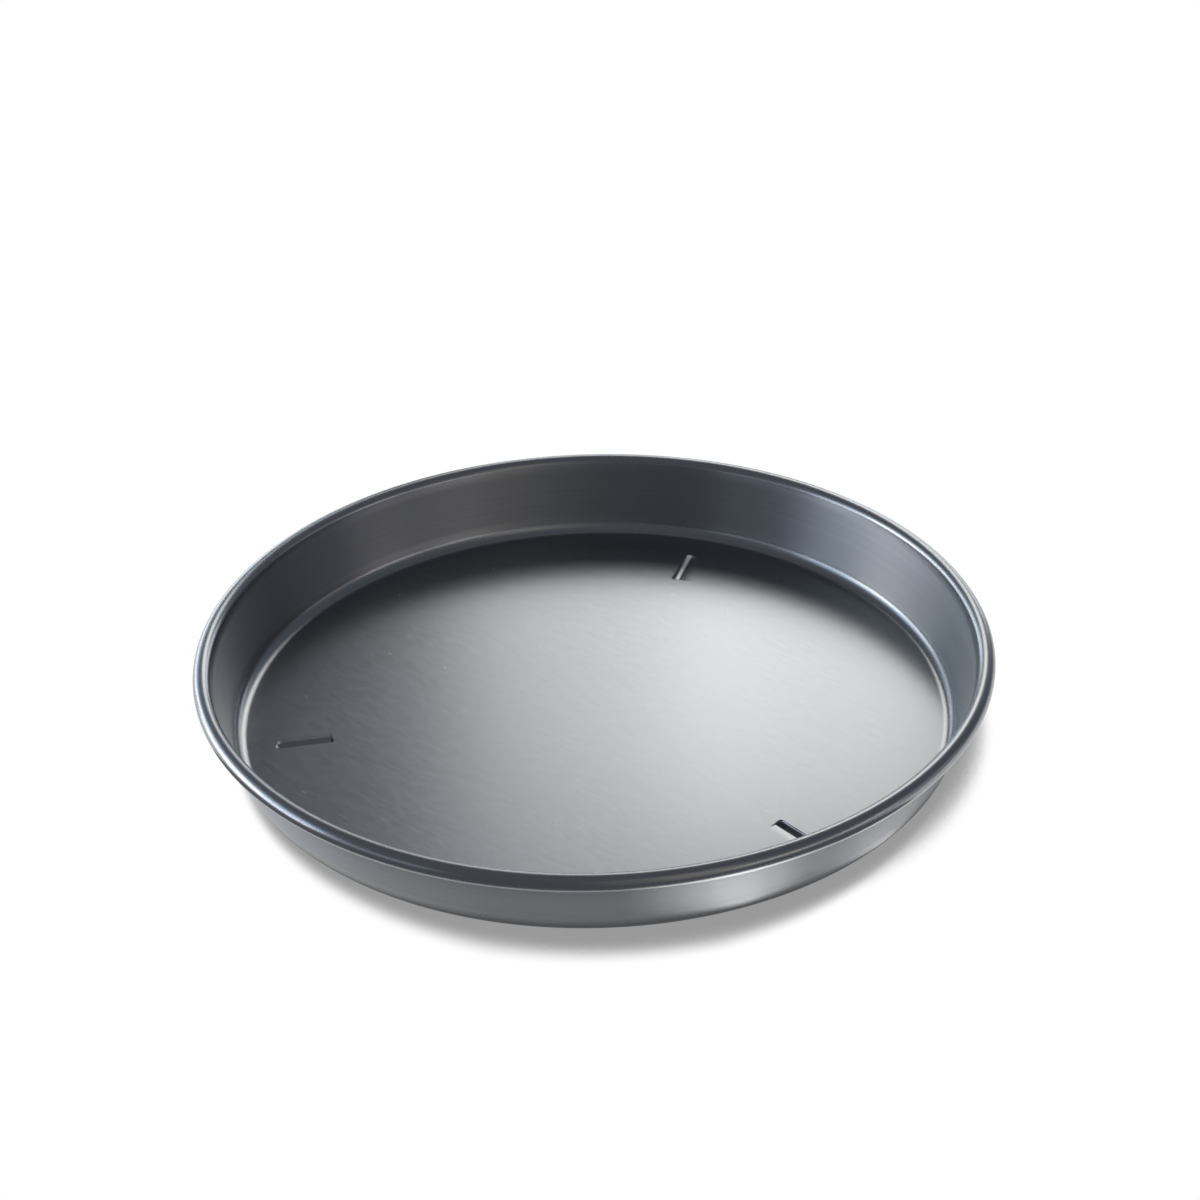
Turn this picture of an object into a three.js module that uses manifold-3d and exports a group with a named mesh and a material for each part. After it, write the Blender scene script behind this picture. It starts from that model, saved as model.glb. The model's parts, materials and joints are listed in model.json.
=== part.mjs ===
// A deep-dish pizza pan: one pressed aluminium sheet with a rolled rim, and the steel hoop inside the roll.
// Millimetres, +Z up. The origin is on the pan's axis, on the surface that its three pressed feet stand on.

import * as THREE from 'three';
import { mergeVertices } from 'three/addons/utils/BufferGeometryUtils.js';
import Module from 'manifold-3d';

// Driving dimensions of the pan
const RIM_DIAMETER = 370; // over the rolled rim
const DEPTH = 38.1; // inside, from the floor to the top of the rim
const FLOOR_DIAMETER = 325.6; // flat part of the floor, up to where the corner bend starts
const CORNER_RADIUS = 6.5; // inside of the bend between floor and wall
const SHEET = 1.3; // thickness of the aluminium

// Driving dimensions of the rolled rim: a wide dome out from the wall, then a tight curl round the wire
const DOME_RADIUS = 6.2; // outer face of the dome
const DOME_END = 90; // degrees above level where the dome runs on into the curl
const CURL_END = -170; // degrees from level where the curl's free edge is
const HOOP_WIRE = 3.7; // diameter of the wire in the curl
const HOOP_CLEARANCE = 0.3; // between the wire and the sheet round it

// Driving dimensions of the pressed feet: grooves that slope down inward, and lugs underneath
const FOOT_COUNT = 3;
const FIRST_FOOT_ANGLE = 90; // degrees round from +X
const FOOT_LENGTH = 26.5; // groove at floor level, end to end along the radius
const FOOT_WIDTH = 5.5; // groove at floor level, at its deep inner end
const FOOT_BED_WIDTH = 2.2; // bottom of the groove
const FOOT_DEPTH = 2.7; // how far the sheet is pressed down at the inner end
const FOOT_SHALLOW = 0.2; // how far it is pressed down at the outer end
const FOOT_PAD = 4; // length of the flat that the lug stands on
const FOOT_MARGIN = 12.8; // from the groove's outer end to the edge of the flat floor

// Fineness of the facets
const TURN_STEPS = 72;
const BEND_STEP = THREE.MathUtils.degToRad(20);
const WIRE_SIDES = 12;
const FOOT_SIDES = 16;
const WELD = 1e-4;

// Sizes that follow from the driving dimensions
const underside = FOOT_DEPTH;
const floorTop = underside + SHEET;
const rimTop = floorTop + DEPTH;
const floorRadius = FLOOR_DIAMETER / 2;
const domeEnd = THREE.MathUtils.degToRad(DOME_END);
const curlEnd = THREE.MathUtils.degToRad(CURL_END);
const curlInside = HOOP_WIRE / 2 + HOOP_CLEARANCE;
const curlOutside = curlInside + SHEET;
const curlShift = DOME_RADIUS - curlOutside;
const curlCentre = new THREE.Vector2(
  RIM_DIAMETER / 2 - curlOutside,
  rimTop - DOME_RADIUS + curlShift * Math.sin(domeEnd),
);
const domeCentre = new THREE.Vector2(curlCentre.x - curlShift * Math.cos(domeEnd), rimTop - DOME_RADIUS);
const cornerCentre = new THREE.Vector2(floorRadius, floorTop + CORNER_RADIUS);

// Materials
const anodisedAluminium = new THREE.MeshStandardMaterial({ color: 0x75797d, roughness: 0.42, metalness: 1 });
const steelWire = new THREE.MeshStandardMaterial({ color: 0x9b9da0, roughness: 0.5, metalness: 1 });

const wasm = await Module();
wasm.setup();

// The wall's angle from upright: its inner face is the line that touches the corner bend and the dome.
function wallLean() {
  const across = domeCentre.clone().sub(cornerCentre);
  return Math.acos((DOME_RADIUS + CORNER_RADIUS) / across.length()) - across.angle();
}

// Points along an arc of the profile, both ends included.
function arc(centre, radius, from, to) {
  const steps = Math.ceil(Math.abs(to - from) / BEND_STEP);
  return Array.from({ length: steps + 1 }, (_, i) => {
    const angle = from + ((to - from) * i) / steps;
    return new THREE.Vector2(centre.x + radius * Math.cos(angle), centre.y + radius * Math.sin(angle));
  });
}

// The sheet's section, from the axis out along its underside, round the rim and back along its inner face.
function sheetProfile() {
  const down = -Math.PI / 2;
  const outward = -wallLean();
  const domeStart = Math.PI + outward;
  return [
    new THREE.Vector2(0, underside),
    ...arc(cornerCentre, CORNER_RADIUS + SHEET, down, outward),
    ...arc(domeCentre, DOME_RADIUS - SHEET, domeStart, domeEnd),
    ...arc(curlCentre, curlInside, domeEnd, curlEnd).slice(1),
    ...arc(curlCentre, curlOutside, curlEnd, domeEnd),
    ...arc(domeCentre, DOME_RADIUS, domeEnd, domeStart).slice(1),
    ...arc(cornerCentre, CORNER_RADIUS, outward, down),
    new THREE.Vector2(0, floorTop),
  ];
}

// A closed solid for joining and cutting, with shared vertices merged and flat triangles on the axis dropped.
function toSolid(geometry) {
  const bare = geometry.clone();
  bare.deleteAttribute('normal');
  bare.deleteAttribute('uv');
  const merged = mergeVertices(bare, WELD);
  const corners = merged.index.array;
  const triVerts = [];
  for (let i = 0; i < corners.length; i += 3) {
    const [a, b, c] = corners.subarray(i, i + 3);
    if (a !== b && b !== c && c !== a) triVerts.push(a, b, c);
  }
  return new wasm.Manifold(new wasm.Mesh({
    numProp: 3,
    vertProperties: new Float32Array(merged.attributes.position.array),
    triVerts: new Uint32Array(triVerts),
  }));
}

function toGeometry(solid) {
  const { vertProperties, triVerts } = solid.getMesh();
  const geometry = new THREE.BufferGeometry();
  geometry.setAttribute('position', new THREE.BufferAttribute(vertProperties, 3));
  geometry.setIndex(new THREE.BufferAttribute(triVerts, 1));
  geometry.computeVertexNormals();
  return geometry;
}

// A block with two round ends, sloping sides and a tilted low face.
// It is a cone's frustum pulled apart along X, with its low face raised by the grade from the -X end on.
function footBlock(low, high, lowHalfWidth, sideSlope, grade) {
  const highHalfWidth = lowHalfWidth + sideSlope * (high - low);
  const pull = FOOT_LENGTH - FOOT_WIDTH;
  const halfStep = Math.PI / FOOT_SIDES;
  const block = new THREE.CylinderGeometry(
    highHalfWidth, lowHalfWidth, high - low, FOOT_SIDES, 1, false, halfStep,
  );
  block.rotateX(Math.PI / 2);
  block.translate(0, 0, (low + high) / 2);
  const position = block.attributes.position;
  for (let i = 0; i < position.count; i += 1) {
    const x = position.getX(i);
    const pulled = Math.abs(x) > WELD ? x + (Math.sign(x) * pull) / 2 : x;
    const isLow = position.getZ(i) < (low + high) / 2;
    const raise = isLow ? grade * (pulled + pull / 2 + lowHalfWidth) : 0;
    position.setXYZ(i, pulled, position.getY(i), position.getZ(i) + raise);
  }
  return block;
}

// Turns a foot's block to its own place on the floor.
function placeFoot(geometry, index) {
  const middle = floorRadius - FOOT_MARGIN - FOOT_LENGTH / 2;
  const angle = THREE.MathUtils.degToRad(FIRST_FOOT_ANGLE + (360 * index) / FOOT_COUNT);
  return geometry.clone().translate(middle, 0, 0).rotateZ(angle);
}

// The pan shell: the revolved sheet, with each foot's lug added below, cut level to stand on, and its groove.
function panShell() {
  const sideSlope = (FOOT_WIDTH - FOOT_BED_WIDTH) / 2 / FOOT_DEPTH;
  const bedLength = FOOT_LENGTH - FOOT_WIDTH + FOOT_BED_WIDTH;
  const grade = (FOOT_DEPTH - FOOT_SHALLOW) / bedLength;
  const padCut = grade * FOOT_PAD;
  const sheetOffset = SHEET * Math.tan(Math.atan2(1, sideSlope) / 2);
  const lugHalfWidth = FOOT_BED_WIDTH / 2 + sheetOffset - sideSlope * padCut;
  const midSheet = (underside + floorTop) / 2;
  const lug = footBlock(-padCut, midSheet, lugHalfWidth, sideSlope, grade);
  const groove = footBlock(floorTop - FOOT_DEPTH, floorTop + SHEET, FOOT_BED_WIDTH / 2, sideSlope, grade);
  const below = new THREE.BoxGeometry(RIM_DIAMETER, RIM_DIAMETER, FOOT_DEPTH).translate(0, 0, -FOOT_DEPTH / 2);
  const sheet = new THREE.LatheGeometry(sheetProfile(), TURN_STEPS).rotateX(Math.PI / 2);
  let shell = toSolid(sheet);
  for (let i = 0; i < FOOT_COUNT; i += 1) shell = shell.add(toSolid(placeFoot(lug, i)));
  for (let i = 0; i < FOOT_COUNT; i += 1) shell = shell.subtract(toSolid(placeFoot(groove, i)));
  shell = shell.subtract(toSolid(below));
  const mesh = new THREE.Mesh(toGeometry(shell), anodisedAluminium);
  mesh.name = 'pan_shell';
  return mesh;
}

// The steel hoop that lies loose in the rolled rim.
function rimHoop() {
  const hoop = new THREE.TorusGeometry(curlCentre.x, HOOP_WIRE / 2, WIRE_SIDES, TURN_STEPS);
  const mesh = new THREE.Mesh(hoop, steelWire);
  mesh.name = 'rim_hoop';
  mesh.position.z = curlCentre.y;
  return mesh;
}

const pan = new THREE.Group();
pan.name = 'deep_dish_pizza_pan';
pan.add(panShell(), rimHoop());

export default pan;
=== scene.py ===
"""A deep-dish pizza pan of dark anodised aluminium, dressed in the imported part's own frame.

The pan is one pressed sheet with three grooved feet and a rim rolled round a steel hoop.
Lengths are metres, angles are radians unless a name says degrees, and +Z is up.
"""

from __future__ import annotations

import json
import logging
import math
from dataclasses import dataclass, field, replace
from enum import Enum

import bpy
import numpy as np
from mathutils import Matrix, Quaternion, Vector


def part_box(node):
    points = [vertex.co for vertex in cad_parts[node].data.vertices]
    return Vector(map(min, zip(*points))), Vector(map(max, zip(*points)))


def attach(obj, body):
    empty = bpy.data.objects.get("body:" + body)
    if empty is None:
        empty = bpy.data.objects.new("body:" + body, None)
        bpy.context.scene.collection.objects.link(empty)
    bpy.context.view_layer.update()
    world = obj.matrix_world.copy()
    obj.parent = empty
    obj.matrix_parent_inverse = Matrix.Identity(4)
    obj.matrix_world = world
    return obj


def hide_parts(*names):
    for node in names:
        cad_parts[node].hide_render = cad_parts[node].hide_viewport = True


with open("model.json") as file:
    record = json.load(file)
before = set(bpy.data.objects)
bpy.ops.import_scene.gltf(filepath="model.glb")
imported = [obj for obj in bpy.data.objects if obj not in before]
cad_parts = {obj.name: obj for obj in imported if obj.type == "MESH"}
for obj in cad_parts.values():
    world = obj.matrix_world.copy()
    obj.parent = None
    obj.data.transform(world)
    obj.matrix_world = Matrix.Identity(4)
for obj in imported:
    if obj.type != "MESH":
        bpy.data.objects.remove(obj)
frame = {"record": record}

LOG = logging.getLogger("pizza_pan")
BODY = "root"
FOOT_DEPTH = 0.0027  # how far the feet are pressed down, and so the height of the flat underside
GRAIN = math.radians(152.0)  # direction of the floor's grain, round from +X
WHITE = (1.0, 1.0, 1.0, 1.0)

Socket = bpy.types.NodeSocket
Colour = tuple[float, float, float]


class Slot(Enum):
    """Material slots that the part's record names."""

    SHELL = "anodised_aluminium"
    HOOP = "steel_wire"


class Node(Enum):
    """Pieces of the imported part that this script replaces."""

    SHELL = "pan_shell"
    HOOP = "rim_hoop"


class Face(Enum):
    """The two faces of the sheet."""

    INNER = "inner"
    OUTER = "outer"


class Trait(Enum):
    """Values that a mesh carries from point to point for its material."""

    SPUN = "spun"
    WALL = "wall"
    PAINTED_HIGHLIGHT = "bed"
    RUN = "run"
    LAY = "lay"


class Blend(Enum):
    """What a Mix node mixes: its data type, the numbers of its two inputs, and that of its output."""

    NUMBER = ("FLOAT", 2, 3, 0)
    COLOUR = ("RGBA", 6, 7, 2)


class LampShape(Enum):
    """Shapes of the studio's lamps."""

    RECTANGLE = "RECTANGLE"
    ELLIPSE = "ELLIPSE"


def smooth_step(value: np.ndarray) -> np.ndarray:
    """Ease from 0 to 1: three times the square less twice the cube, of the value held between 0 and 1."""
    held = np.clip(value, 0.0, 1.0)
    return held**2 * (3.0 - 2.0 * held)


@dataclass(frozen=True)
class Arc:
    """A round bend in the section of the sheet."""

    centre: tuple[float, float]
    radius: float
    start: float
    end: float

    def points(self, count: int) -> np.ndarray:
        """Sample the bend evenly, both ends included: centre plus radius times (cos a, sin a) at angle a."""
        angle = np.linspace(self.start, self.end, count)
        return np.asarray(self.centre) + self.radius * np.column_stack([np.cos(angle), np.sin(angle)])


@dataclass
class Surface:
    """Points and faces of a mesh, with the values that its points carry."""

    points: np.ndarray
    faces: list[np.ndarray]
    traits: dict[Trait, np.ndarray] = field(default_factory=dict)

    def object(self, name: str) -> bpy.types.Object:
        """Make a smooth mesh object at the origin.

        Args:
            name: Name of the object and of its mesh.

        Returns:
            The new object, linked to the scene.
        """
        mesh = bpy.data.meshes.new(name)
        corners = [face for block in self.faces for face in block.tolist()]
        mesh.from_pydata(self.points.tolist(), [], corners)
        mesh.polygons.foreach_set("use_smooth", np.ones(len(corners), dtype=bool))
        for trait, values in self.traits.items():
            kind, slot = ("FLOAT_VECTOR", "vector") if values.ndim == 2 else ("FLOAT", "value")
            layer = mesh.attributes.new(trait.value, kind, "POINT")
            layer.data.foreach_set(slot, np.ascontiguousarray(values, dtype=np.float32).ravel())
        mesh.update()
        piece = bpy.data.objects.new(name, mesh)
        bpy.context.scene.collection.objects.link(piece)
        return piece


def grid_faces(rows: int, columns: int, close_rows: bool) -> np.ndarray:
    """Join a grid of points with quads that face outward, closed round the columns.

    Args:
        rows: Number of points along the section.
        columns: Number of points round the axis.
        close_rows: Whether the last row joins the first.

    Returns:
        One row of four point numbers for each quad.
    """
    lower = np.arange(rows if close_rows else rows - 1)[:, None] * columns
    upper = (lower + columns) % (rows * columns)
    here = np.arange(columns)[None, :]
    there = (here + 1) % columns
    quads = np.stack([lower + here, lower + there, upper + there, upper + here], axis=-1)
    return quads.reshape(-1, 4)


@dataclass(frozen=True)
class Foot:
    """One short radial groove pressed into the floor, deepest at its inner end, which is a lug underneath.

    Seen from above, the sheet falls steeply into the groove on its counter-clockwise side, and gently on the
    other.

    Attributes:
        steep: Width of the slope on the counter-clockwise side.
        slope: Width of the slope on the clockwise side.
        gentle: Width of the shallow dip on the clockwise side.
        gentle_depth: Depth of the shallow dip.
        shallow: How far its outer end is pressed down, negative where it is raised.
        hollow: Power that bends the ramp between the two ends. 1 is straight.
        roundness: How far the slopes ease out at top and bottom, from 0 to 1.
        painted_highlight: How far its bed is painted lighter as a painted highlight, from 0 to 1.
        highlight_inside: Share of the painted highlight that is left at the inner end.
        highlight_reach: Above 1, the painted highlight stays full for a way up the slopes before it fades.
    """

    angle: float
    depth: float
    inner: float = 0.1236
    outer: float = 0.1500
    bed: float = 0.0003
    steep: float = 0.0013
    slope: float = 0.0028
    gentle: float = 0.0070
    gentle_depth: float = 0.00060
    inner_end: float = 0.0012
    outer_end: float = 0.0026
    shallow: float = 0.0022
    hollow: float = 0.7
    roundness: float = 0.5
    # these three paint a foot's bed lighter: a painted highlight
    painted_highlight: float = 0.0
    highlight_inside: float = 0.35
    highlight_reach: float = 1.5

    def along(self, x: np.ndarray, y: np.ndarray) -> np.ndarray:
        """Measure the distance from the axis along the groove."""
        return x * math.cos(self.angle) + y * math.sin(self.angle)

    def distance(self, x: np.ndarray, y: np.ndarray, side: float, widen: float) -> np.ndarray:
        """Measure how far points are from the groove's bed.

        Along the radius and across it, the distance beyond the bed's edge is divided by the width of the
        slope on that side, and the two are joined as the sides of a right-angled triangle.

        Args:
            x: Across the pan.
            y: Along the pan.
            side: Width of the slope on the clockwise side.
            widen: Added to the bed on every side, for the outer face of the sheet.

        Returns:
            The distance, 0 on the bed and 1 where the slope ends.
        """
        along, across = self.along(x, y), y * math.cos(self.angle) - x * math.sin(self.angle)
        half = self.bed / 2 + widen
        near, far = self.inner + self.inner_end - widen, self.outer - self.outer_end + widen
        ends = np.maximum((near - along) / self.inner_end, (along - far) / self.outer_end)
        sides = np.maximum((across - half) / self.steep, (-across - half) / side)
        return np.hypot(np.maximum(ends, 0.0), np.maximum(sides, 0.0))

    def drop(self, x: np.ndarray, y: np.ndarray, widen: float) -> np.ndarray:
        """Work out how far the sheet is pressed down.

        The bed is a hollow ramp that falls from the outer end to the inner end. A shallow dip eases to
        nothing with the square of what is left of its distance, and the ramp's further depth eases to the
        dip over the slopes.

        Args:
            x: Across the pan.
            y: Along the pan.
            widen: Added to the bed on every side, for the outer face of the sheet.

        Returns:
            Depths, in the shape of x.
        """
        length = self.outer - self.inner - self.inner_end
        ramp = np.clip((self.outer - self.along(x, y)) / length, 0.0, 1.0)**self.hollow
        bed = self.shallow + (self.depth - self.shallow) * ramp
        dip = np.minimum(bed, self.gentle_depth)
        dip = dip * np.clip(1.0 - self.distance(x, y, self.gentle, widen), 0.0, 1.0)**2
        left = np.clip(1.0 - self.distance(x, y, self.slope, widen), 0.0, 1.0)
        return dip + (bed - dip) * ((1.0 - self.roundness) * left + self.roundness * smooth_step(left))

    def highlight_share(self, x: np.ndarray, y: np.ndarray) -> np.ndarray:
        """Say how far the bed is painted lighter as a painted highlight: more toward its high end, easing to
        0 beside it.

        Args:
            x: Across the pan.
            y: Along the pan.

        Returns:
            The wear, in the shape of x.
        """
        share = np.clip((self.along(x, y) - self.inner) / (self.outer - self.inner), 0.0, 1.0)
        climb = self.highlight_inside + (1.0 - self.highlight_inside) * share
        beside = self.distance(x, y, self.slope, 0.0)
        return self.painted_highlight * climb * smooth_step(self.highlight_reach * (1.0 - beside))


@dataclass
class PanShell:
    """The pressed sheet: floor with grooved feet, corner bend, leaning wall and rolled rim.

    Attributes:
        floor_radius: Where the corner bend starts.
        bead_end: Angle of the bead's free edge, from level.
        edge_gap: From the last ring of the floor to the corner bend.
        foot_lead: How far the close rings start before a foot and end after it.
        foot_inside: How far the closest rings reach into a foot at its inner end.
        foot_outside: How far the close rings reach into a foot at its outer end.
        foot_window: Angle to each side of a foot that has close columns.
        foot_clear: How many windows away from a foot the even columns start.
        crowding: How far the close columns crowd to the foot's middle, from 0 to 1.
        spun_ease: Share of the corner radius over which the floor's finish gives way to the wall's.
        wall_start: Share of the corner radius above the floor where the straight wall's finish starts.
        wall_ease: Height over which the straight wall's finish comes and goes.
        bead_under: Share of the bead's radius below its centre where its coarser underside starts.
        bead_inside: Share of the bead's radius inside its centre where the bead's finish starts.
    """

    rim_radius: float
    rim_top: float
    feet: list[Foot]
    sheet: float = 0.0013
    corner_radius: float = 0.0065
    floor_radius: float = 0.1628
    bead_radius: float = 0.0040
    bead_end: float = math.radians(-138.0)
    hub_radius: float = 0.0060
    edge_gap: float = 0.0004
    foot_lead: float = 0.0012
    foot_inside: float = 0.0030
    foot_outside: float = 0.0040
    foot_window: float = math.radians(3.2)
    foot_clear: float = 1.1
    crowding: float = 0.75
    turn_columns: int = 240
    foot_columns: int = 60
    floor_counts: tuple[int, ...] = (8, 22, 12, 14, 5)
    bend_rows: int = 14
    wall_rows: int = 8
    hollow_rows: int = 22
    lip_rows: int = 7
    bead_rows: int = 58
    corner_rows: int = 18
    spun_ease: float = 0.8
    wall_start: float = 0.7
    wall_ease: float = 0.002
    bead_under: float = 0.2
    bead_inside: float = 0.6

    @property
    def underside(self) -> float:
        """Height of the flat underside."""
        return self.feet[0].depth

    @property
    def floor_top(self) -> float:
        """Height of the flat inner floor."""
        return self.underside + self.sheet

    @property
    def bead_centre(self) -> tuple[float, float]:
        """Centre of the round bead that the rim is rolled into."""
        return self.rim_radius - self.bead_radius, self.rim_top - self.bead_radius

    @property
    def corner_centre(self) -> tuple[float, float]:
        """Centre of the bend between floor and wall."""
        return self.floor_radius, self.floor_top + self.corner_radius

    def wall_lean(self) -> float:
        """Find the wall's angle from upright.

        The wall's inner face is the line that touches the corner bend and the rim's bead.

        Returns:
            The angle, positive where the pan widens upward.
        """
        across = np.subtract(self.bead_centre, self.corner_centre)
        touch = math.acos((self.bead_radius + self.corner_radius) / np.linalg.norm(across))
        return touch - math.atan2(across[1], across[0])

    def floor_rows(self, face: Face) -> np.ndarray:
        """Lay the floor's rows at one face, from the axis outward, close together at the feet's ends.

        Args:
            face: The face of the sheet. The outer one has half as many rows.

        Returns:
            Rows of (radius, height).
        """
        inner, outer = self.feet[0].inner, self.feet[0].outer
        stops = (
            self.hub_radius, inner - self.foot_lead, inner + self.foot_inside, outer - self.foot_outside,
            outer + self.foot_lead, self.floor_radius - self.edge_gap,
        )
        share, height = (1, self.floor_top) if face is Face.INNER else (2, self.underside)
        spans = zip(stops, stops[1:], self.floor_counts)
        radii = [np.linspace(low, high, count // share, endpoint=False) for low, high, count in spans]
        radii = np.append(np.concatenate(radii), stops[-1])
        return np.column_stack([radii, np.full_like(radii, height)])

    def section(self) -> tuple[np.ndarray, np.ndarray]:
        """Draw the closed section of the sheet, from the axis along its outer face and back inside.

        Returns:
            Rows of (radius, height), and for each row whether it is on the floor.
        """
        down, outward = -math.pi / 2, -self.wall_lean()
        start, end, gauge = math.pi + outward, self.bead_end, self.sheet
        middle = self.bead_radius - gauge / 2
        edge = tuple(np.add(self.bead_centre, (middle * math.cos(end), middle * math.sin(end))))
        bend = Arc(self.corner_centre, self.corner_radius + gauge, down, outward).points(self.bend_rows)
        hollow = Arc(self.bead_centre, self.bead_radius - gauge, start, end).points(self.hollow_rows)
        lip = Arc(edge, gauge / 2, end + math.pi, end).points(self.lip_rows)[1:-1]
        bead = Arc(self.bead_centre, self.bead_radius, end, start).points(self.bead_rows)
        corner = Arc(self.corner_centre, self.corner_radius, outward, down).points(self.corner_rows)
        floor_out, floor_in = self.floor_rows(Face.OUTER), self.floor_rows(Face.INNER)[::-1]
        wall_out = np.linspace(bend[-1], hollow[0], self.wall_rows)[1:-1]
        wall_in = np.linspace(bead[-1], corner[0], self.wall_rows)[1:-1]
        rows = np.vstack([floor_out, bend, wall_out, hollow, lip, bead, wall_in, corner, floor_in])
        flat = np.zeros(len(rows), dtype=bool)
        flat[:len(floor_out)] = True
        flat[-len(floor_in):] = True
        return rows, flat

    def columns(self) -> np.ndarray:
        """Choose the angles round the axis: even, and closer together across each foot.

        Across a foot, an even spread s from -1 to 1 becomes a mix of s and its cube.

        Returns:
            The angles, in rising order.
        """
        turn, clear = 2 * math.pi, self.foot_window * self.foot_clear
        even = np.linspace(-math.pi, math.pi, self.turn_columns, endpoint=False)
        centres = np.array([foot.angle for foot in self.feet])
        away = np.abs((even[:, None] - centres + math.pi) % turn - math.pi).min(axis=1)
        spread = np.linspace(-1.0, 1.0, self.foot_columns)
        window = self.foot_window * ((1.0 - self.crowding) * spread + self.crowding * spread**3)
        close = ((centres[:, None] + window).ravel() + math.pi) % turn - math.pi
        return np.sort(np.concatenate([even[away > clear], close]))

    def lay(self, rows: np.ndarray, angles: np.ndarray, spun: np.ndarray) -> np.ndarray:
        """Find the direction across the lay: across the floor's grain, and up the section elsewhere.

        Args:
            rows: The section, as rows of (radius, height).
            angles: The angles round the axis.
            spun: How far each row is off the floor.

        Returns:
            A direction for every row and angle, and for the two points on the axis.
        """
        step = np.gradient(rows, axis=0)
        climb = step / np.linalg.norm(step, axis=1, keepdims=True)
        rise = np.repeat(climb[:, 1:], len(angles), axis=1)
        up = np.stack([climb[:, :1] * np.cos(angles), climb[:, :1] * np.sin(angles), rise], axis=-1)
        across = np.array([math.sin(GRAIN), -math.cos(GRAIN), 0.0])
        lay = spun[..., None] * up + (1.0 - spun[..., None]) * across
        return np.vstack([lay.reshape(-1, 3), across, across])

    def traits(self, rows: np.ndarray, angles: np.ndarray, x: np.ndarray,
               y: np.ndarray) -> dict[Trait, np.ndarray]:
        """Work out what the sheet's material reads from point to point.

        Args:
            rows: The section, as rows of (radius, height).
            angles: The angles round the axis.
            x: Across the pan, for every row and angle.
            y: Along the pan, for every row and angle.

        Returns:
            How far a point is off the floor, how far it is on the straight wall or under the bead, how far
            it is on a foot's bed painted with a painted highlight, its run along the section, and the
            direction across the lay.
        """
        radius, height = rows.T
        spun = smooth_step((radius - self.floor_radius) / (self.spun_ease * self.corner_radius))[:, None]
        low, high = self.floor_top + self.wall_start * self.corner_radius, self.bead_centre[1]
        ease = self.wall_ease
        straight = smooth_step((height - low) / ease) * smooth_step((high - height) / ease)
        under = smooth_step((high - height) / self.bead_radius - self.bead_under)
        rolled = radius >= self.bead_centre[0] - self.bead_inside * self.bead_radius
        wall = np.where(rolled, under, straight)[:, None]
        inner = (np.arange(len(rows)) > len(rows) // 2)[:, None]
        # a foot's bed is painted lighter here: a painted highlight
        bed = sum(foot.highlight_share(x, y) for foot in self.feet) * inner * (1.0 - spun)
        step = np.gradient(rows, axis=0)
        run = np.cumsum(np.hypot(step[:, 0], step[:, 1]))[:, None]
        poles = [0.0, 0.0]
        return {
            Trait.SPUN: np.append((spun + 0.0 * x).ravel(), poles),
            Trait.WALL: np.append((wall + 0.0 * x).ravel(), poles),
            Trait.PAINTED_HIGHLIGHT: np.append(bed.ravel(), poles),
            Trait.RUN: np.append((run + 0.0 * x).ravel(), [0.0, run[-1, 0]]),
            Trait.LAY: self.lay(rows, angles, spun),
        }

    def surface(self) -> Surface:
        """Carry the section round the axis and press the feet into the floor.

        The point of section row (r, h) at angle a is (r cos a, r sin a, h minus the feet's drop there). The
        feet only press rows on the floor. One point on the axis closes each end of the section.

        Returns:
            The closed surface.
        """
        rows, flat = self.section()
        angles = self.columns()
        x = rows[:, :1] * np.cos(angles)
        y = rows[:, :1] * np.sin(angles)
        z = np.repeat(rows[:, 1:], len(angles), axis=1)
        inner = flat & (np.arange(len(rows)) > len(rows) // 2)
        for chosen, widen in ((inner, 0.0), (flat & ~inner, self.sheet / 2)):
            z[chosen] -= sum(foot.drop(x[chosen], y[chosen], widen) for foot in self.feet)
        grid = np.stack([x, y, z], axis=-1).reshape(-1, 3)
        poles = np.array([[0.0, 0.0, self.underside], [0.0, 0.0, self.floor_top]])
        count, turn = len(rows), len(angles)
        here, there = np.arange(turn), (np.arange(turn) + 1) % turn
        low = np.column_stack([np.full(turn, count * turn), there, here])
        last = (count - 1) * turn
        high = np.column_stack([np.full(turn, count * turn + 1), last + here, last + there])
        faces = [grid_faces(count, turn, False), low, high]
        return Surface(np.vstack([grid, poles]), faces, self.traits(rows, angles, x, y))

    def build(self, finish: AnodisedAluminium) -> bpy.types.Object:
        """Make the shell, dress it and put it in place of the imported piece.

        Args:
            finish: The finish of the sheet.

        Returns:
            The new object.
        """
        piece = self.surface().object("pan_shell_sheet")
        piece.data.materials.append(finish.material())
        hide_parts(Node.SHELL.value)
        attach(piece, BODY)
        LOG.info("pan shell: %d points, %d faces", len(piece.data.vertices), len(piece.data.polygons))
        return piece


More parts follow.
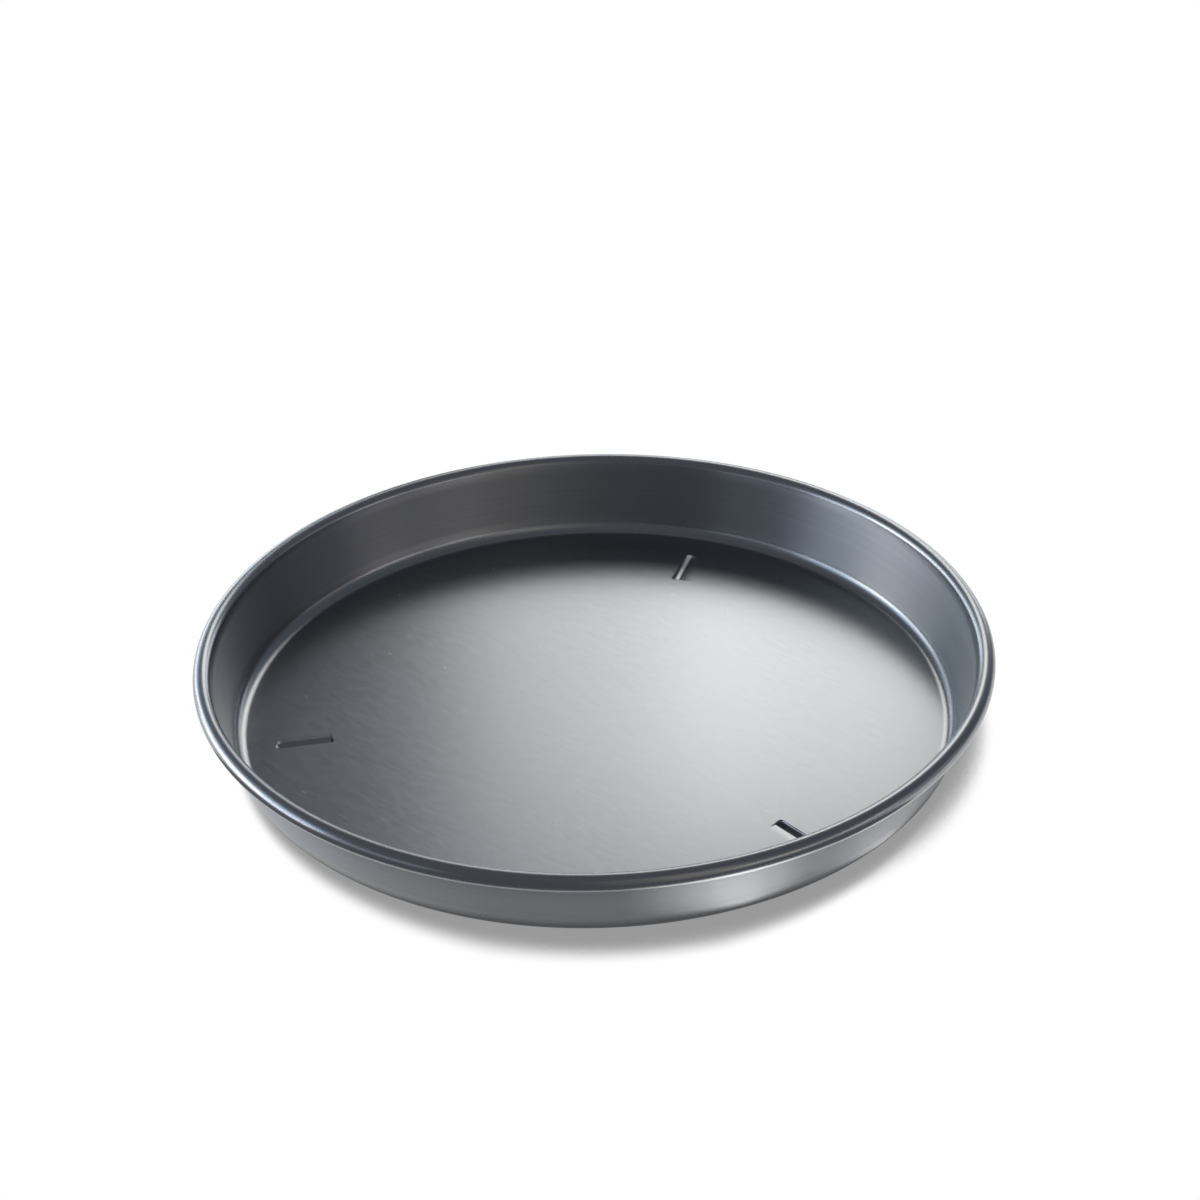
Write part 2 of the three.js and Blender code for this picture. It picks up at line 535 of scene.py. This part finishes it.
@dataclass
class RimHoop:
    """The steel wire hoop that lies in the rolled rim."""

    centre: tuple[float, float]
    wire_radius: float
    wire_rows: int = 24
    turn_columns: int = 288

    def surface(self) -> Surface:
        """Carry the wire's circle round the axis.

        The point at wire angle w and turn a is ((R - r cos w) cos a, (R - r cos w) sin a, H + r sin w).

        Returns:
            The closed surface.
        """
        wire = np.linspace(0.0, 2 * math.pi, self.wire_rows, endpoint=False)[:, None]
        turn = np.linspace(0.0, 2 * math.pi, self.turn_columns, endpoint=False)[None, :]
        reach = self.centre[0] - self.wire_radius * np.cos(wire)
        height = self.centre[1] + self.wire_radius * np.sin(wire) + 0.0 * turn
        grid = np.stack([reach * np.cos(turn), reach * np.sin(turn), height], axis=-1).reshape(-1, 3)
        run = (self.wire_radius * wire + 0.0 * turn).ravel()
        faces = [grid_faces(self.wire_rows, self.turn_columns, True)[:, ::-1]]
        return Surface(grid, faces, {Trait.RUN: run})

    def build(self, finish: SteelWire) -> bpy.types.Object:
        """Make the hoop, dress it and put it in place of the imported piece.

        Args:
            finish: The finish of the wire.

        Returns:
            The new object.
        """
        piece = self.surface().object("rim_hoop_wire")
        piece.data.materials.append(finish.material())
        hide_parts(Node.HOOP.value)
        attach(piece, BODY)
        LOG.info("rim hoop: %d points, %d faces", len(piece.data.vertices), len(piece.data.polygons))
        return piece


@dataclass
class Sheet:
    """A node tree that is being drawn."""

    tree: bpy.types.NodeTree

    def add(self, kind: str, **settings: object) -> bpy.types.Node:
        """Add a node.

        Args:
            kind: The node's type.
            settings: Values for the node's own properties.

        Returns:
            The new node.
        """
        node = self.tree.nodes.new(kind)
        for name, value in settings.items():
            setattr(node, name, value)
        return node

    def join(self, source: Socket, target: Socket) -> None:
        """Link an output to an input."""
        self.tree.links.new(source, target)

    def feed(self, source: Socket | float | tuple[float, ...], target: Socket) -> None:
        """Link an output to an input, or set the input to a plain value.

        Args:
            source: The output, or the value.
            target: The input.
        """
        if isinstance(source, bpy.types.NodeSocket):
            self.join(source, target)
        else:
            target.default_value = source

    def trait(self, trait: Trait, output: str = "Fac") -> Socket:
        """Read one of the mesh's own values."""
        return self.add("ShaderNodeAttribute", attribute_name=trait.value).outputs[output]

    def math(self, operation: str, first: Socket, second: Socket | float) -> Socket:
        """Work out one value from two.

        Args:
            operation: Name of the Math node's operation.
            first: The first value.
            second: The second value, or a number.

        Returns:
            The result.
        """
        node = self.add("ShaderNodeMath", operation=operation)
        self.join(first, node.inputs[0])
        self.feed(second, node.inputs[1])
        return node.outputs[0]

    def mix(self, blend: Blend, factor: Socket, first: Socket | tuple[float, ...],
            second: Socket | tuple[float, ...]) -> Socket:
        """Mix two numbers or two colours.

        Args:
            blend: What is mixed.
            factor: Runs from 0 for the first to 1 for the second.
            first: The first number or colour.
            second: The second number or colour.

        Returns:
            The mixture.
        """
        kind, low, high, output = blend.value
        node = self.add("ShaderNodeMix", data_type=kind)
        self.join(factor, node.inputs[0])
        self.feed(first, node.inputs[low])
        self.feed(second, node.inputs[high])
        return node.outputs[output]

    def span(self, value: Socket, low: float, high: float) -> Socket:
        """Stretch a value that runs from 0 to 1 so that it runs from low to high.

        Args:
            value: The value.
            low: The result at 0.
            high: The result at 1.

        Returns:
            The stretched value.
        """
        node = self.add("ShaderNodeMapRange")
        self.join(value, node.inputs["Value"])
        node.inputs["To Min"].default_value, node.inputs["To Max"].default_value = low, high
        return node.outputs["Result"]


class Effect(Enum):
    """Shader groups that more than one material uses."""

    LINES = "fine_lines"
    SPECKLE = "speckle"

    def tree(self) -> bpy.types.NodeTree:
        """Give the group, drawing it on first use.

        Returns:
            The group's node tree.
        """
        made = bpy.data.node_groups.get(self.value)
        if made is None:
            made = bpy.data.node_groups.new(self.value, "ShaderNodeTree")
            draw = draw_lines if self is Effect.LINES else draw_speckle
            draw(made)
        return made


def group_ends(tree: bpy.types.NodeTree, inputs: dict[str, float],
               output: str) -> tuple[bpy.types.Node, bpy.types.Node]:
    """Give a group a vector input, its number inputs and one value output.

    Args:
        tree: The group.
        inputs: Names and defaults of the number inputs.
        output: Name of the output.

    Returns:
        The group's input node and output node.
    """
    tree.interface.new_socket("Vector", in_out="INPUT", socket_type="NodeSocketVector")
    for name, value in inputs.items():
        tree.interface.new_socket(name, in_out="INPUT", socket_type="NodeSocketFloat").default_value = value
    tree.interface.new_socket(output, in_out="OUTPUT", socket_type="NodeSocketFloat")
    return tree.nodes.new("NodeGroupInput"), tree.nodes.new("NodeGroupOutput")


def draw_lines(tree: bpy.types.NodeTree) -> None:
    """Draw fine lines of uneven strength: the mean of two noises, both crowded along the vector's Z.

    Args:
        tree: The group.
    """
    sheet = Sheet(tree)
    start, end = group_ends(tree, {"Narrow": 5000.0, "Wide": 900.0, "Length": 6.0}, "Lines")
    parts = sheet.add("ShaderNodeSeparateXYZ")
    sheet.join(start.outputs["Vector"], parts.inputs[0])
    noises = []
    for name, detail in (("Narrow", 2.0), ("Wide", 1.0)):
        place = sheet.add("ShaderNodeCombineXYZ")
        for axis in (0, 1):
            part = sheet.math("MULTIPLY", parts.outputs[axis], start.outputs["Length"])
            sheet.join(part, place.inputs[axis])
        sheet.join(sheet.math("MULTIPLY", parts.outputs[2], start.outputs[name]), place.inputs[2])
        noise = sheet.add("ShaderNodeTexNoise")
        sheet.join(place.outputs[0], noise.inputs["Vector"])
        noise.inputs["Scale"].default_value = 1.0
        noise.inputs["Detail"].default_value = detail
        noises.append(noise.outputs[0])
    both = sheet.math("MULTIPLY", sheet.math("ADD", *noises), 0.5)
    sheet.join(both, end.inputs["Lines"])


def draw_speckle(tree: bpy.types.NodeTree) -> None:
    """Draw small scattered specks: noise cut off below a threshold, thinned out by a wider noise.

    Args:
        tree: The group.
    """
    sheet = Sheet(tree)
    start, end = group_ends(tree, {"Fine": 900.0, "Patches": 40.0, "Threshold": 0.62}, "Specks")
    noises = []
    for name, detail in (("Fine", 3.0), ("Patches", 2.0)):
        noise = sheet.add("ShaderNodeTexNoise")
        sheet.join(start.outputs["Vector"], noise.inputs["Vector"])
        sheet.join(start.outputs[name], noise.inputs["Scale"])
        noise.inputs["Detail"].default_value = detail
        noises.append(noise.outputs[0])
    cut = sheet.add("ShaderNodeMapRange", interpolation_type="SMOOTHSTEP")
    sheet.join(noises[0], cut.inputs["Value"])
    sheet.join(start.outputs["Threshold"], cut.inputs["From Min"])
    cut.inputs["From Max"].default_value = 0.8
    sheet.join(sheet.math("MULTIPLY", cut.outputs["Result"], noises[1]), end.inputs["Specks"])


@dataclass(frozen=True)
class Finish:
    """A metal surface whose colour and roughness vary a little from place to place."""

    name: str
    colour: Colour
    roughness: float
    shades: tuple[float, float]
    unevenness: float
    speck_weight: float

    def start(self) -> tuple[bpy.types.Material, Sheet, bpy.types.Node]:
        """Make the material with a plain metal shader.

        Returns:
            The material, its node tree and the shader.
        """
        made = bpy.data.materials.new(self.name)
        made.use_nodes = True
        sheet = Sheet(made.node_tree)
        shader = made.node_tree.nodes["Principled BSDF"]
        shader.inputs["Base Color"].default_value = (*self.colour, 1.0)
        shader.inputs["Metallic"].default_value = 1.0
        shader.inputs["Roughness"].default_value = self.roughness
        return made, sheet, shader

    def effect(self, sheet: Sheet, effect: Effect, vector: Socket, **values: float) -> Socket:
        """Place a shader group.

        Args:
            sheet: The material's node tree.
            effect: The group to place.
            vector: Where the group reads its pattern.
            values: Numbers for the group's inputs.

        Returns:
            The group's output.
        """
        node = sheet.add("ShaderNodeGroup", node_tree=effect.tree())
        sheet.join(vector, node.inputs["Vector"])
        for name, value in values.items():
            node.inputs[name].default_value = value
        return node.outputs[0]

    def round_place(self, sheet: Sheet, place: Socket) -> Socket:
        """Give the place where lines run round the axis: across, along, and the run along the section.

        Args:
            sheet: The material's node tree.
            place: The object's own coordinates.

        Returns:
            The place, with the run as its Z.
        """
        parts = sheet.add("ShaderNodeSeparateXYZ")
        sheet.join(place, parts.inputs[0])
        spot = sheet.add("ShaderNodeCombineXYZ")
        for axis in (0, 1):
            sheet.join(parts.outputs[axis], spot.inputs[axis])
        sheet.join(sheet.trait(Trait.RUN), spot.inputs[2])
        return spot.outputs[0]

    def shade(self, sheet: Sheet, lines: Socket, specks: Socket) -> Socket:
        """Mix between the darkest and the lightest step of the colour.

        Args:
            sheet: The material's node tree.
            lines: Lighten the colour, from 0 to 1.
            specks: Darken the colour, from 0 to 1.

        Returns:
            The mixed colour.
        """
        tone = sheet.math("SUBTRACT", lines, sheet.math("MULTIPLY", specks, self.speck_weight))
        dark, light = ((*(share * part for part in self.colour), 1.0) for share in self.shades)
        return sheet.mix(Blend.COLOUR, tone, dark, light)

    def uneven(self, sheet: Sheet, lines: Socket) -> Socket:
        """Let the lines move the roughness to each side of its middle."""
        return sheet.span(lines, self.roughness - self.unevenness, self.roughness + self.unevenness)


@dataclass(frozen=True)
class AnodisedAluminium(Finish):
    """Dark grey, satin, hard-anodised aluminium: straight grain on the floor, spun lines elsewhere."""

    name: str = "anodised_aluminium"
    colour: Colour = (0.290, 0.300, 0.312)
    roughness: float = 0.26
    shades: tuple[float, float] = (0.86, 1.14)
    unevenness: float = 0.03
    speck_weight: float = 0.35
    # colour of a foot's bed where it is painted lighter: a painted highlight
    bed_highlight: Colour = (0.84, 0.85, 0.86)
    wall_roughness: float = 0.44
    wall_stretch: float = 0.82
    rim_roughness: float = 0.27
    rim_stretch: float = 0.45
    bump_strength: float = 0.05
    bump_depth: float = 0.00002

    def lines(self, sheet: Sheet, place: Socket) -> Socket:
        """Draw the floor's straight grain and the wall's spun lines, and choose between them by place.

        Args:
            sheet: The material's node tree.
            place: The object's own coordinates.

        Returns:
            The lines, from 0 to 1.
        """
        turn = sheet.add("ShaderNodeVectorRotate", rotation_type="EULER_XYZ")
        turn.inputs["Rotation"].default_value = (math.pi / 2, GRAIN, 0.0)
        sheet.join(place, turn.inputs["Vector"])
        grain = self.effect(sheet, Effect.LINES, turn.outputs[0], Narrow=1300.0, Wide=420.0, Length=150.0)
        rounds = self.round_place(sheet, place)
        spun = self.effect(sheet, Effect.LINES, rounds, Narrow=4200.0, Wide=700.0, Length=4.0)
        return sheet.mix(Blend.NUMBER, sheet.trait(Trait.SPUN), grain, spun)

    def stepped(self, sheet: Sheet, rim: float, wall: float) -> Socket:
        """Give a number that is 0 on the floor and takes two other values on the rim and on the wall.

        Args:
            sheet: The material's node tree.
            rim: The number on the rim and the corner bend.
            wall: The number on the straight wall and under the bead.

        Returns:
            The number.
        """
        spun = sheet.span(sheet.trait(Trait.SPUN), 0.0, rim)
        return sheet.math("ADD", spun, sheet.span(sheet.trait(Trait.WALL), 0.0, wall - rim))

    def material(self) -> bpy.types.Material:
        """Make the material.

        Returns:
            The material.
        """
        made, sheet, shader = self.start()
        place = sheet.add("ShaderNodeTexCoord").outputs["Object"]
        lines = self.lines(sheet, place)
        specks = self.effect(sheet, Effect.SPECKLE, place, Fine=1400.0, Patches=35.0)
        shade = self.shade(sheet, lines, specks)
        # the feet's beds are painted a lighter colour: a painted highlight
        bed_highlight = sheet.mix(Blend.COLOUR, sheet.trait(Trait.PAINTED_HIGHLIGHT), shade, (*self.bed_highlight, 1.0))
        sheet.join(bed_highlight, shader.inputs["Base Color"])
        rim, wall = self.rim_roughness - self.roughness, self.wall_roughness - self.roughness
        extra = self.stepped(sheet, rim, wall)
        sheet.join(sheet.math("ADD", self.uneven(sheet, lines), extra), shader.inputs["Roughness"])
        bump = sheet.add("ShaderNodeBump")
        bump.inputs["Strength"].default_value = self.bump_strength
        bump.inputs["Distance"].default_value = self.bump_depth
        sheet.join(lines, bump.inputs["Height"])
        sheet.join(bump.outputs[0], shader.inputs["Normal"])
        sheet.join(sheet.trait(Trait.LAY, "Vector"), shader.inputs["Tangent"])
        sheet.join(self.stepped(sheet, self.rim_stretch, self.wall_stretch), shader.inputs["Anisotropic"])
        return made


@dataclass(frozen=True)
class SteelWire(Finish):
    """Drawn bright steel wire."""

    name: str = "steel_wire"
    colour: Colour = (0.56, 0.57, 0.58)
    roughness: float = 0.4
    shades: tuple[float, float] = (0.85, 1.1)
    unevenness: float = 0.08
    speck_weight: float = 1.0

    def material(self) -> bpy.types.Material:
        """Make the material.

        Returns:
            The material.
        """
        made, sheet, shader = self.start()
        place = sheet.add("ShaderNodeTexCoord").outputs["Object"]
        rounds = self.round_place(sheet, place)
        lines = self.effect(sheet, Effect.LINES, rounds, Narrow=9000.0, Wide=2400.0, Length=5.0)
        specks = self.effect(sheet, Effect.SPECKLE, place, Fine=2200.0, Patches=60.0)
        sheet.join(self.shade(sheet, lines, specks), shader.inputs["Base Color"])
        sheet.join(self.uneven(sheet, lines), shader.inputs["Roughness"])
        return made


def area_lamp(name: str, shape: LampShape, size: tuple[float, float], energy: float,
              colour: Colour) -> bpy.types.Object:
    """Make an area lamp that the camera doesn't see.

    Args:
        name: Name of the lamp and its object.
        shape: The lamp's shape.
        size: Its width and height.
        energy: Its power in watts.
        colour: The colour of its light.

    Returns:
        The lamp's object, linked to the scene.
    """
    lamp = bpy.data.lights.new(name, "AREA")
    lamp.shape = shape.value
    lamp.size, lamp.size_y = size
    lamp.energy = energy
    lamp.color = colour
    placed = bpy.data.objects.new(name, lamp)
    placed.visible_camera = False
    bpy.context.scene.collection.objects.link(placed)
    return placed


@dataclass(frozen=True)
class Softbox:
    """A soft rectangular lamp that faces the pan, placed as seen from the camera's heading."""

    name: str
    azimuth_degrees: float
    elevation_degrees: float
    width: float
    height: float
    radiance: float
    colour: Colour
    distance: float = 1.6

    def build(self, heading: float) -> None:
        """Hang the lamp.

        Args:
            heading: The camera's azimuth, so that azimuth 0 is straight beyond the pan.
        """
        energy = self.radiance * math.pi * self.width * self.height
        placed = area_lamp(self.name, LampShape.RECTANGLE, (self.width, self.height), energy, self.colour)
        turn, rise = math.radians(self.azimuth_degrees) - heading, math.radians(self.elevation_degrees)
        reach = Vector((math.sin(turn) * math.cos(rise), math.cos(turn) * math.cos(rise), math.sin(rise)))
        placed.location = reach * self.distance
        placed.rotation_mode = "QUATERNION"
        placed.rotation_quaternion = (-reach).to_track_quat("-Z", "Y")
        LOG.info("lamp: %s", self.name)


@dataclass(frozen=True)
class Card:
    """A small bright card on the table, brightest in the middle, which shows in the pan's wall."""

    name: str
    azimuth_degrees: float
    reach: float
    width: float
    depth: float
    radiance: float
    colour: Colour
    layers: int = 4
    layer_gap: float = 0.0002

    def build(self, heading: float) -> None:
        """Lay the card on the table, facing up, as ellipses of growing width on one another.

        Args:
            heading: The camera's azimuth, so that azimuth 0 is straight beyond the pan.
        """
        turn = math.radians(self.azimuth_degrees) - heading
        for layer in range(1, self.layers + 1):
            width = self.width * layer / self.layers
            energy = self.radiance / self.layers * math.pi * width * self.depth * math.pi / 4
            size = (width, self.depth)
            placed = area_lamp(f"{self.name}_{layer}", LampShape.ELLIPSE, size, energy, self.colour)
            height = self.layer_gap * layer
            placed.location = (self.reach * math.sin(turn), self.reach * math.cos(turn), height)
            placed.rotation_euler = (math.pi, 0.0, -turn)
        LOG.info("card: %s", self.name)


@dataclass(frozen=True)
class Cover:
    """How the pan keeps light from one side off the table.

    Attributes:
        lean_degrees: How far the light's side leans from straight up.
        turn_degrees: Which way it leans, seen from the camera's heading.
        reach: How far away the pan still covers the light, in front of its middle and beside it.
        span: Openness that counts as fully shaded and as fully open.
        taper: Distances to the left and right of the middle between which the reach changes.
    """

    lean_degrees: float
    turn_degrees: float
    reach: tuple[float, float]
    span: tuple[float, float]
    taper: tuple[float, float] = (0.05, 0.17)

    def openness(self, sheet: Sheet, heading: float) -> Socket:
        """Measure how open the table is to the light.

        Args:
            sheet: The table's node tree.
            heading: The camera's azimuth.

        Returns:
            0 where the table is shaded, up to 1 where it is open.
        """
        lean, turn = math.radians(self.lean_degrees), math.radians(self.turn_degrees) - heading
        tilt = sheet.add("ShaderNodeCombineXYZ")
        tilt.inputs[0].default_value = math.sin(lean) * math.sin(turn)
        tilt.inputs[1].default_value = math.sin(lean) * math.cos(turn)
        tilt.inputs[2].default_value = math.cos(lean)
        place = sheet.add("ShaderNodeTexCoord")
        across = sheet.add("ShaderNodeVectorMath", operation="DOT_PRODUCT")
        sheet.join(place.outputs["Object"], across.inputs[0])
        across.inputs[1].default_value = (math.cos(heading), math.sin(heading), 0.0)
        reach = sheet.add("ShaderNodeMapRange")
        sheet.join(sheet.math("ABSOLUTE", across.outputs["Value"], 0.0), reach.inputs["Value"])
        reach.inputs["From Min"].default_value, reach.inputs["From Max"].default_value = self.taper
        reach.inputs["To Min"].default_value, reach.inputs["To Max"].default_value = self.reach
        cover = sheet.add("ShaderNodeAmbientOcclusion", samples=16)
        sheet.join(reach.outputs["Result"], cover.inputs["Distance"])
        sheet.join(tilt.outputs[0], cover.inputs["Normal"])
        shade = sheet.add("ShaderNodeMapRange", interpolation_type="SMOOTHSTEP")
        sheet.join(cover.outputs["AO"], shade.inputs["Value"])
        shade.inputs["From Min"].default_value, shade.inputs["From Max"].default_value = self.span
        return shade.outputs["Result"]


@dataclass
class Studio:
    """The white table, the surroundings, the lamps and the camera."""

    lamps: list[Softbox | Card]
    table_front: float = 0.197
    table_back: float = 1.5
    table_left: float = math.radians(100.0)
    table_right: float = math.radians(124.0)
    table_ease: float = math.radians(14.0)
    table_columns: int = 180
    table_grey: Colour = (0.85, 0.85, 0.85)
    covers: tuple[Cover, Cover] = (
        Cover(28.0, -45.0, (0.0225, 0.0060), (0.40, 0.85)),
        Cover(60.0, -105.0, (0.0300, 0.0240), (0.45, 0.70)),
    )
    deepest: float = 0.32  # brightness of the table where it is fully shaded
    mirrored: float = 1.4  # power that deepens the shade where the pan mirrors it
    dim: Colour = (0.160, 0.174, 0.201)  # light that the surroundings give the pan
    lens: float = 80.0
    sensor: float = 36.0
    azimuth: float = math.radians(20.0)
    elevation: float = math.radians(33.49)
    distance: float = 1.2577
    target_height: float = 0.0024
    yaw: float = math.radians(-0.167)
    pitch: float = math.radians(2.361)
    roll: float = math.radians(1.608)

    def table(self) -> bpy.types.Object:
        """Lay the white table top under the pan's feet.

        The edge at azimuth a, seen from the camera's heading, is at the front reach where a is past the
        table's turn to the left or right, and eases to the back reach inside it. A point on the axis
        closes it.

        Returns:
            The table's object.
        """
        azimuth = np.linspace(-math.pi, math.pi, self.table_columns, endpoint=False)
        inside = np.minimum(self.table_right - azimuth, azimuth + self.table_left)
        wide = smooth_step(inside / self.table_ease)
        reach = self.table_front + (self.table_back - self.table_front) * wide
        turn = azimuth - self.azimuth
        edge = np.column_stack([reach * np.sin(turn), reach * np.cos(turn), np.zeros_like(turn)])
        here = np.arange(len(edge))
        fan = np.column_stack([np.full_like(here, len(edge)), np.roll(here, -1), here])
        piece = Surface(np.vstack([edge, np.zeros(3)]), [fan]).object("studio_table")
        piece.data.materials.append(self.table_material())
        LOG.info("studio table")
        return piece

    def table_material(self) -> bpy.types.Material:
        """Make the table white where it is open, and shaded where the pan covers its light.

        Returns:
            The material.
        """
        made = bpy.data.materials.new("studio_white")
        made.use_nodes = True
        sheet = Sheet(made.node_tree)
        plain = made.node_tree.nodes["Principled BSDF"]
        plain.inputs["Base Color"].default_value = (*self.table_grey, 1.0)
        plain.inputs["Roughness"].default_value = 1.0
        plain.inputs["Specular IOR Level"].default_value = 0.0
        front, side = (cover.openness(sheet, self.azimuth) for cover in self.covers)
        shade = sheet.span(sheet.math("MINIMUM", front, side), self.deepest, 1.0)
        path = sheet.add("ShaderNodeLightPath")
        shade = sheet.math("POWER", shade, sheet.span(path.outputs["Is Glossy Ray"], 1.0, self.mirrored))
        glow = sheet.add("ShaderNodeEmission")
        sheet.join(shade, glow.inputs["Color"])
        seen = sheet.math("MAXIMUM", path.outputs["Is Camera Ray"], path.outputs["Is Glossy Ray"])
        seen = sheet.math("MAXIMUM", seen, path.outputs["Is Transmission Ray"])
        mix = sheet.add("ShaderNodeMixShader")
        sheet.join(seen, mix.inputs[0])
        sheet.join(plain.outputs[0], mix.inputs[1])
        sheet.join(glow.outputs[0], mix.inputs[2])
        sheet.join(mix.outputs[0], made.node_tree.nodes["Material Output"].inputs["Surface"])
        return made

    def surroundings(self) -> None:
        """Make the world white to the camera and dim to the pan."""
        world = bpy.data.worlds.new("studio_surroundings")
        bpy.context.scene.world = world
        world.use_nodes = True
        sheet = Sheet(world.node_tree)
        path = sheet.add("ShaderNodeLightPath")
        light = sheet.mix(Blend.COLOUR, path.outputs["Is Camera Ray"], (*self.dim, 1.0), WHITE)
        sheet.join(light, world.node_tree.nodes["Background"].inputs["Color"])

    def camera(self) -> bpy.types.Object:
        """Set up the camera where the photo was taken from.

        Returns:
            The camera's object.
        """
        data = bpy.data.cameras.new("photo_camera")
        data.lens, data.sensor_width = self.lens, self.sensor
        away = Vector((
            math.sin(self.azimuth) * math.cos(self.elevation),
            -math.cos(self.azimuth) * math.cos(self.elevation),
            math.sin(self.elevation),
        ))
        placed = bpy.data.objects.new("photo_camera", data)
        placed.location = Vector((0.0, 0.0, self.target_height)) + away * self.distance
        placed.rotation_mode = "QUATERNION"
        placed.rotation_quaternion = (
            (-away).to_track_quat("-Z", "Y")
            @ Quaternion((0.0, 1.0, 0.0), self.yaw)
            @ Quaternion((1.0, 0.0, 0.0), self.pitch)
            @ Quaternion((0.0, 0.0, -1.0), self.roll)
        )
        bpy.context.scene.collection.objects.link(placed)
        bpy.context.scene.camera = placed
        LOG.info("camera: %.1f mm", self.lens)
        return placed

    def build(self) -> None:
        """Build the whole studio."""
        self.table()
        self.surroundings()
        self.camera()
        for lamp in self.lamps:
            lamp.build(self.azimuth)


def studio_lamps() -> list[Softbox | Card]:
    """List the studio's lamps, with the strengths that give the photo's reflections.

    Most strengths and colours, like the surroundings' dim light, come from a fit to the photo.

    Returns:
        The softboxes, then the cards.
    """
    return [
        Softbox("key_left", 0.0, 29.0, 0.30, 0.60, 1.80, (1.00, 0.98, 0.96)),
        Softbox("key", 10.0, 29.0, 0.28, 0.60, 2.41, (1.00, 0.99, 0.94)),
        Softbox("key_right", 19.0, 28.0, 0.28, 0.60, 0.93, (1.00, 1.00, 0.93)),
        Softbox("key_core", 1.0, 32.5, 0.34, 0.16, 0.36, (1.0, 0.98, 0.95)),
        Softbox("key_core_right", 13.0, 33.0, 0.34, 0.16, 0.40, (1.0, 0.98, 0.95)),
        Softbox("key_top", -2.0, 45.5, 0.25, 0.20, 0.80, (0.92, 0.96, 1.0)),
        Softbox("back_right", 40.0, 24.0, 0.60, 0.50, 0.09, (0.16, 0.45, 1.00)),
        Softbox("back_left", -36.0, 21.0, 0.66, 0.22, 1.03, (0.61, 0.79, 1.00)),
        Softbox("back_left_low", -36.0, 13.0, 0.66, 0.22, 2.15, (0.88, 0.96, 1.00)),
        Softbox("mid_left", -18.0, 16.0, 0.30, 0.40, 2.19, (0.82, 0.92, 1.00)),
        Softbox("low_back_left", -34.0, 5.0, 0.90, 0.25, 3.27, (0.82, 0.95, 1.00)),
        Softbox("low_back", 0.0, 6.0, 0.33, 0.28, 1.89, (0.79, 0.91, 1.00)),
        Softbox("low_back_right", 25.0, 10.0, 0.62, 0.45, 1.97, (0.88, 0.94, 1.00)),
        Softbox("left_back", -55.0, 14.0, 0.45, 0.30, 4.20, (0.91, 0.96, 1.00)),
        Softbox("left", -75.0, 14.0, 0.60, 0.30, 6.95, (0.97, 0.99, 1.00)),
        Softbox("left_front", -98.0, 14.0, 0.60, 0.30, 3.14, (0.77, 0.86, 1.00)),
        Softbox("left_low", -80.0, 4.0, 1.50, 0.22, 4.58, (0.88, 0.90, 1.00)),
        Softbox("left_high", -75.0, 27.0, 1.50, 0.30, 1.57, (0.58, 0.77, 1.00)),
        Softbox("left_fill", -125.0, 12.0, 0.80, 0.40, 0.55, (0.76, 0.84, 1.00)),
        Softbox("right_back", 85.0, 14.0, 0.60, 0.30, 0.38, (1.00, 0.88, 0.95)),
        Softbox("right", 110.0, 14.0, 0.60, 0.30, 1.44, (1.00, 0.90, 0.95)),
        Softbox("right_front", 135.0, 14.0, 0.60, 0.30, 1.36, (1.00, 0.89, 0.81)),
        Softbox("front_right", 154.0, 24.0, 0.55, 1.40, 0.30, (1.00, 0.85, 0.68)),
        Softbox("front", 171.0, 24.0, 0.45, 1.40, 0.10, (1.00, 0.82, 0.55)),
        Card("wall_card", 158.5, 0.1915, 0.120, 0.034, 2.4, (1.0, 0.97, 0.96)),
        Card("side_card", 132.0, 0.1800, 0.110, 0.020, 1.0, (1.0, 0.97, 0.97)),
    ]


def feet_from_record() -> list[Foot]:
    """Place one foot at each of the record's mounts on the feet.

    In the photo the back foot has a wider bed than the other two and is ramped up outward; its bed is
    painted lighter as a painted highlight.

    Returns:
        The feet.
    """
    mounts = [mount for mount in frame["record"]["mounts"] if mount["name"].startswith("foot")]
    places = {mount["name"]: mount["pos_m"] for mount in mounts}
    feet = {name: Foot(math.atan2(place[1], place[0]), FOOT_DEPTH) for name, place in places.items()}
    # the back foot's bed is painted lighter: a painted highlight
    feet["foot_back"] = replace(
        feet["foot_back"], bed=0.0020, steep=0.0007, slope=0.0010, shallow=-0.0003, painted_highlight=1.0,
    )
    return list(feet.values())


def main() -> None:
    """Build the pan and its studio from the imported part's sizes."""
    logging.basicConfig(level=logging.INFO)
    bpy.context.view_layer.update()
    _, shell_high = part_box(Node.SHELL.value)
    hoop_low, hoop_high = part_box(Node.HOOP.value)
    wire_radius = (hoop_high.z - hoop_low.z) / 2
    centre = (hoop_high.x - wire_radius, (hoop_high.z + hoop_low.z) / 2)
    PanShell(shell_high.x, shell_high.z, feet_from_record()).build(AnodisedAluminium())
    RimHoop(centre, wire_radius).build(SteelWire())
    Studio(studio_lamps()).build()
    bpy.context.scene.view_settings.view_transform = "Standard"


if __name__ == "__main__":
    main()
